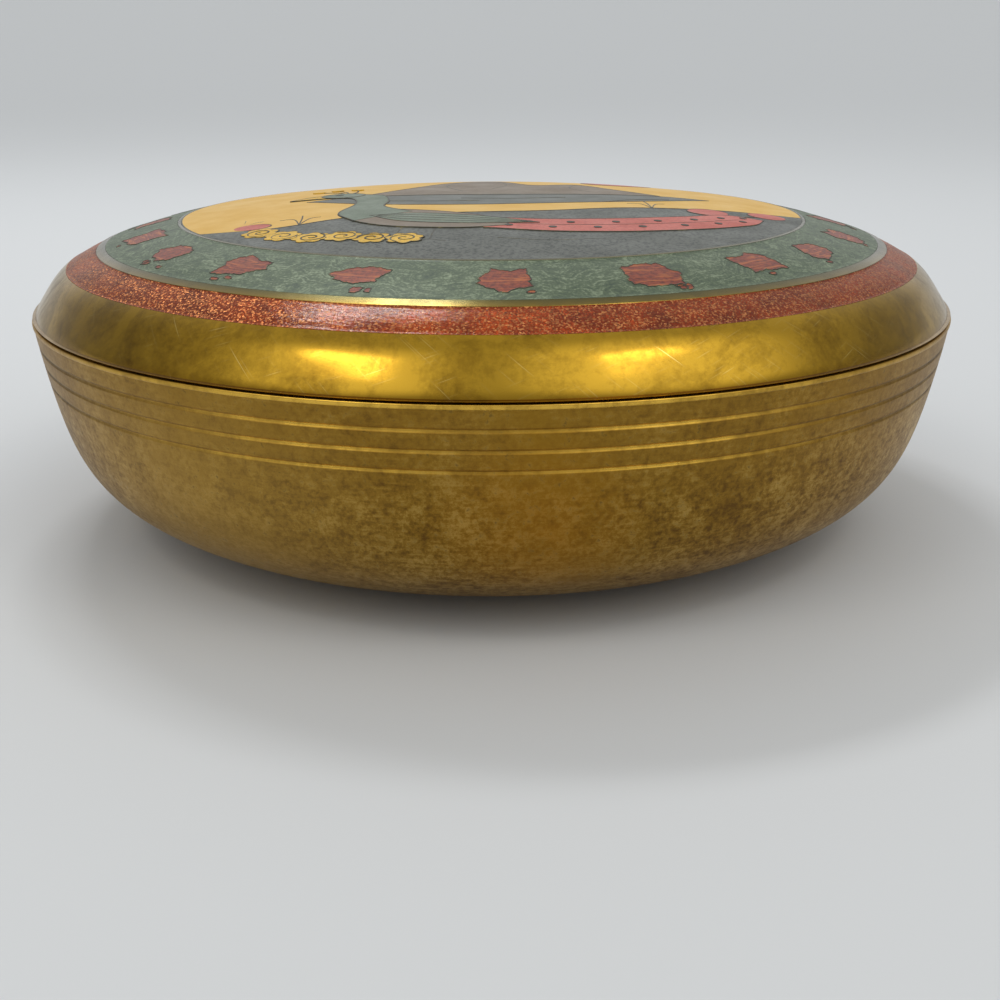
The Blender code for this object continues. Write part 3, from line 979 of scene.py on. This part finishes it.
class MakePicture(bpy.types.Operator):
    """Fills the round cell: a crested bird on a bank, with blossoms, a lake, hills and a low sun"""

    bl_idname = "trinket_box.make_picture"
    bl_label = "Picture"

    def execute(self, context):
        settings = sizes()
        tones = colours()
        scale = PICTURE_OUTER - 2 * TIGHT
        limits = (0, PICTURE_OUTER)
        bank = turned(filling_profile(0, PICTURE_OUTER, 60, settings.picture_sink), False)
        slate = opaque_enamel("slate enamel", tones.slate, linear("#343734"), 0.45 * MM, 0.9)
        make_piece("picture_bank", bank, slate, ["enamel_picture"])

        # Each filling or line has a step, the count of colours that lie under it
        wires = []
        fillings = {kind: [] for kind in ("sky", "lake", "hills", "leaves", "coral", "gold", "dots")}

        def sink(step):
            return settings.picture_sink - step * settings.layer

        def line(step, way, count):
            wires.append((curve_through(way, count), False, step))

        def ruled(kind, step, low, high):
            low = curve_through(low, CURVE_STEPS)
            if isinstance(high, list):
                high = curve_through(high, CURVE_STEPS)
            fillings[kind].append(patch(scale * low, scale * high, 30, limits, sink(step)))
            wires.extend([(low, False, step), (high, False, step)])

        def spot(kind, step, outline, lined=True):
            fillings[kind].append(island(scale * outline, limits, sink(step)))
            if lined:
                wires.append((outline, True, step))

        ruled("sky", 1, HORIZON, rim_arc(211.5, -9.2))
        ruled("lake", 2, LAKE_NEAR, LAKE_FAR)
        ruled("hills", 3, HILL_FOOT, HILL_TOP)
        ruled("coral", 4, TAIL_UNDER, TAIL_BACK)
        ruled("hills", 5, BODY_UNDER, BODY_BACK)
        ruled("leaves", 6, NECK_FRONT, NECK_BACK)
        ruled("leaves", 6, WING_UNDER, WING_BACK)
        ruled("gold", 6, BEAK_UNDER, BEAK_BACK)
        spot("leaves", 7, oval(HEAD, (0.072, 0.066), 0.4))
        spot("dots", 8, oval((HEAD[0] - 0.015, HEAD[1] + 0.012), (0.014, 0.014)), False)
        for end in CREST:
            line(3, [(HEAD[0] + 0.01, HEAD[1] + 0.06), ((HEAD[0] + end[0]) / 2 + 0.02, 0.2), end], 20)
            spot("gold", 7, oval(end, (0.022, 0.022)), False)
        # Two rows of eyes on the tail, and lines along the tail and the wing
        under = curve_through(TAIL_UNDER, CURVE_STEPS)
        back = curve_through(TAIL_BACK, CURVE_STEPS)
        for row, shift in ((0.3, 0.0), (0.7, 0.5)):
            for place in (np.arange(7) + 0.7 + shift) / 8.4:
                station = int(place * (CURVE_STEPS - 1))
                centre = under[station] * (1 - row) + back[station] * row
                spot("dots", 6, oval(centre, (0.012, 0.012)), False)
        wires.append((under * 0.5 + back * 0.5, False, 4))
        under = curve_through(WING_UNDER, CURVE_STEPS)[8:]
        back = curve_through(WING_BACK, CURVE_STEPS)[8:]
        wires.extend((under * (1 - share) + back * share, False, 6) for share in (0.25, 0.5, 0.75))
        # Blossoms with a curl drawn in each, shrubs and a sun, tufts of grass, legs and the ground's lines
        for index, centre in enumerate(BLOSSOMS):
            spot("gold", 4 + index % 2, petals(centre, 0.050, 7, 0.5 * index))
            wires.append((curl(centre, 0.042, 1.8, 1.1 * index), False, 6))
        for centre, half in CORAL_SPOTS:
            spot("coral", 2, oval(centre, half))
        for x, y in TUFTS:
            for lean in (-0.07, -0.01, 0.05):
                line(1, [(x, y), (x + 0.4 * lean, y + 0.09), (x + lean, y + 0.16 - abs(lean))], 12)
        for x in (-0.25, -0.15):
            line(0, [(x, -0.63), (x - 0.01, -0.71), (x - 0.015, -0.79)], 12)
            line(0, [(x - 0.055, -0.80), (x - 0.015, -0.79), (x + 0.03, -0.81)], 12)
        for way in BANK_LINES:
            line(0, way, 60)
        for way in FAR_LINES:
            line(2.5, way, 60)
        wires.append((rim_arc(0, 360, 0.996)[:-1], True, 8))

        # Each kind's material, colour, shade of its grain, size of the grain in mm and its strength
        finishes = {
            "sky": ("yellow enamel", tones.yellow, "#B98638", 0.5, 0.10),
            "lake": ("lake enamel", tones.slate, "#4A4E4A", 0.4, 0.35),
            "hills": ("mauve enamel", tones.mauve, "#5E5248", 0.5, 0.4),
            "leaves": ("grey-green enamel", tones.leaf, "#4A564A", 0.4, 0.4),
            "coral": ("coral enamel", tones.coral, "#7E3430", 0.5, 0.35),
            "gold": ("gold enamel", tones.gold, "#80601A", 0.4, 0.4),
            "dots": ("dark enamel", tones.line, "#15130F", 0.4, 0.3),
        }
        for kind, solids in fillings.items():
            name, tone, shade, grain, strength = finishes[kind]
            material = opaque_enamel(name, tone, linear(shade), grain * MM, strength)
            make_piece("picture_" + kind, merged(solids), material)
        drawn = []
        for way, closed, step in wires:
            lift = step * settings.layer + PICTURE_WIRE_LIFT - settings.picture_sink
            drawn.append(wire(scale * way, closed, settings.wire_width, lift))
        make_piece("picture_wires", merged(drawn), dull_wire())
        return {"FINISHED"}


# The stage

CAMERA_PLACE = (0.00113, -0.1786, 0.0603)
CAMERA_TURN = (math.radians(70.82), math.radians(0.11), 0.0)
CAMERA_LENS = 46.8
CAMERA_SENSOR = 36.0
FLOOR = [(0.0, 0.0), (1.0, 0.0), (2.4, 0.05), (4.0, 0.3), (6.0, 0.9)]  # radius and height
# How bright the room is, low and high, in front and at the back
LOW_FRONT = (0.46, 0.46, 0.45)
LOW_BACK = (0.80, 0.82, 0.84)
HIGH_FRONT = (0.62, 0.62, 0.61)
HIGH_BACK = (0.88, 0.90, 0.92)
# Brighter and darker parts of the room: azimuth, elevation and reach in degrees, and the gain
GLOWS = ((-45, 44, 29, 1.4), (52, 46, 35, 1.6), (-118, 16, 34, -0.5), (122, 10, 34, -0.5))


def direction(azimuth, elevation):
    """A direction in degrees: azimuth 0 in front and positive to the right, elevation up."""
    east, high = math.radians(azimuth), math.radians(elevation)
    return Vector((math.sin(east) * math.cos(high), -math.cos(east) * math.cos(high), math.sin(high)))


def lamp(name, azimuth, elevation, distance, size, glow, colour="#FFFFFF"):
    """A soft lamp seen from the lid in a direction, of a size in metres. Its power is pi times its
    area times its glow, which is how bright its face looks where white paper in the room is 1."""
    source = bpy.data.lights.new(name, "AREA")
    source.shape = "RECTANGLE"
    source.size, source.size_y = size
    source.energy = math.pi * size[0] * size[1] * glow
    source.color = linear(colour)
    thing = bpy.data.objects.new(name, source)
    bpy.context.scene.collection.objects.link(thing)
    way = direction(azimuth, elevation)
    thing.location = Vector((0, 0, APEX)) + distance * way
    thing.rotation_euler = way.to_track_quat("Z", "Y").to_euler()


class MakeStage(bpy.types.Operator):
    """Sets the floor, the soft lamps, the room's light and the camera"""

    bl_idname = "trinket_box.make_stage"
    bl_label = "Stage"

    def execute(self, context):
        scene = context.scene
        points, faces = turned(curve_through(FLOOR, 40), False)
        mesh = bpy.data.meshes.new("floor")
        mesh.from_pydata(points, [], faces)
        mesh.shade_smooth()
        paper = (*linear("#CFD2D5"), 1.0)
        mesh.materials.append(new_material("pale paper backdrop", roughness=0.9, base_color=paper)[0])
        floor = bpy.data.objects.new("floor", mesh)
        scene.collection.objects.link(floor)

        lamp("softbox_left", -44, 49.0, 0.55, (0.17, 0.07), 3.6, "#FFF4E2")
        lamp("softbox_right", 47, 50.5, 0.55, (0.15, 0.07), 3.6, "#FFF4E2")
        lamp("window_near", -147, 57, 0.70, (0.10, 0.08), 25.0)
        lamp("window_far", -164, 57, 0.70, (0.10, 0.08), 25.0)

        world = bpy.data.worlds.new("soft room")
        world.use_nodes = True
        scene.world = world
        tree = world.node_tree
        sky = tree.nodes["Background"]
        way = add(tree, "TexCoord").outputs["Generated"]
        parts = add(tree, "SeparateXYZ", (way,))
        back = add(tree, "MapRange", (parts.outputs["Y"], 0.2, 0.98, 0.0, 1.0))
        high = add(tree, "MapRange", (parts.outputs["Z"], 0.15, 0.8, 0.0, 1.0))
        low_ring = add(tree, "Mix", (back, LOW_FRONT, LOW_BACK), data_type="RGBA")
        high_ring = add(tree, "Mix", (back, HIGH_FRONT, HIGH_BACK), data_type="RGBA")
        room = add(tree, "Mix", (high, low_ring, high_ring), data_type="RGBA")
        # Soft glows round the two softboxes, and dark furniture at the box's two ends
        bright = 1.0
        for east, up, reach, gain in GLOWS:
            turned_to = add(tree, "VectorMath", (way, direction(east, up)), operation="DOT_PRODUCT")
            edge = math.cos(math.radians(reach))
            lobe = add(tree, "MapRange", (turned_to, edge, 1.0, 0.0, gain), interpolation_type="SMOOTHSTEP")
            bright = add(tree, "Math", (bright, lobe), operation="ADD")
        tree.links.new(result(room), sky.inputs["Color"])
        tree.links.new(result(bright), sky.inputs["Strength"])

        camera = bpy.data.objects.new("camera", bpy.data.cameras.new("camera"))
        camera.data.lens = CAMERA_LENS
        camera.data.sensor_width = CAMERA_SENSOR
        camera.data.clip_start = 0.01
        camera.location = CAMERA_PLACE
        camera.rotation_euler = CAMERA_TURN
        scene.collection.objects.link(camera)
        scene.camera = camera
        scene.view_settings.view_transform = "Standard"
        return {"FINISHED"}


class BoxPanel(bpy.types.Panel):
    """Lists the pieces of the trinket box and their settings"""

    bl_idname = "VIEW3D_PT_trinket_box"
    bl_label = "Trinket Box"
    bl_space_type = "VIEW_3D"
    bl_region_type = "UI"
    bl_category = "Trinket Box"

    def draw(self, context):
        column = self.layout.column()
        for step in STEPS:
            column.operator(step.bl_idname)
        for group in (context.scene.trinket_box_sizes, context.scene.trinket_box_colours):
            for name in group.__annotations__:
                column.prop(group, name)


STEPS = (MakeBase, MakeLid, MakeRedBand, MakeGreenBand, MakePicture, MakeStage)
CLASSES = (BoxSizes, BoxColours, *STEPS, BoxPanel)


def register():
    """Adds the settings, the operators and the panel."""
    for kind in CLASSES:
        bpy.utils.register_class(kind)
    bpy.types.Scene.trinket_box_sizes = PointerProperty(type=BoxSizes)
    bpy.types.Scene.trinket_box_colours = PointerProperty(type=BoxColours)


def unregister():
    """Takes them away again."""
    del bpy.types.Scene.trinket_box_colours
    del bpy.types.Scene.trinket_box_sizes
    for kind in reversed(CLASSES):
        bpy.utils.unregister_class(kind)


def main():
    """Makes every piece and the stage."""
    register()
    for step in STEPS:
        group, name = step.bl_idname.split(".")
        getattr(getattr(bpy.ops, group), name)()


if __name__ == "__main__":
    main()
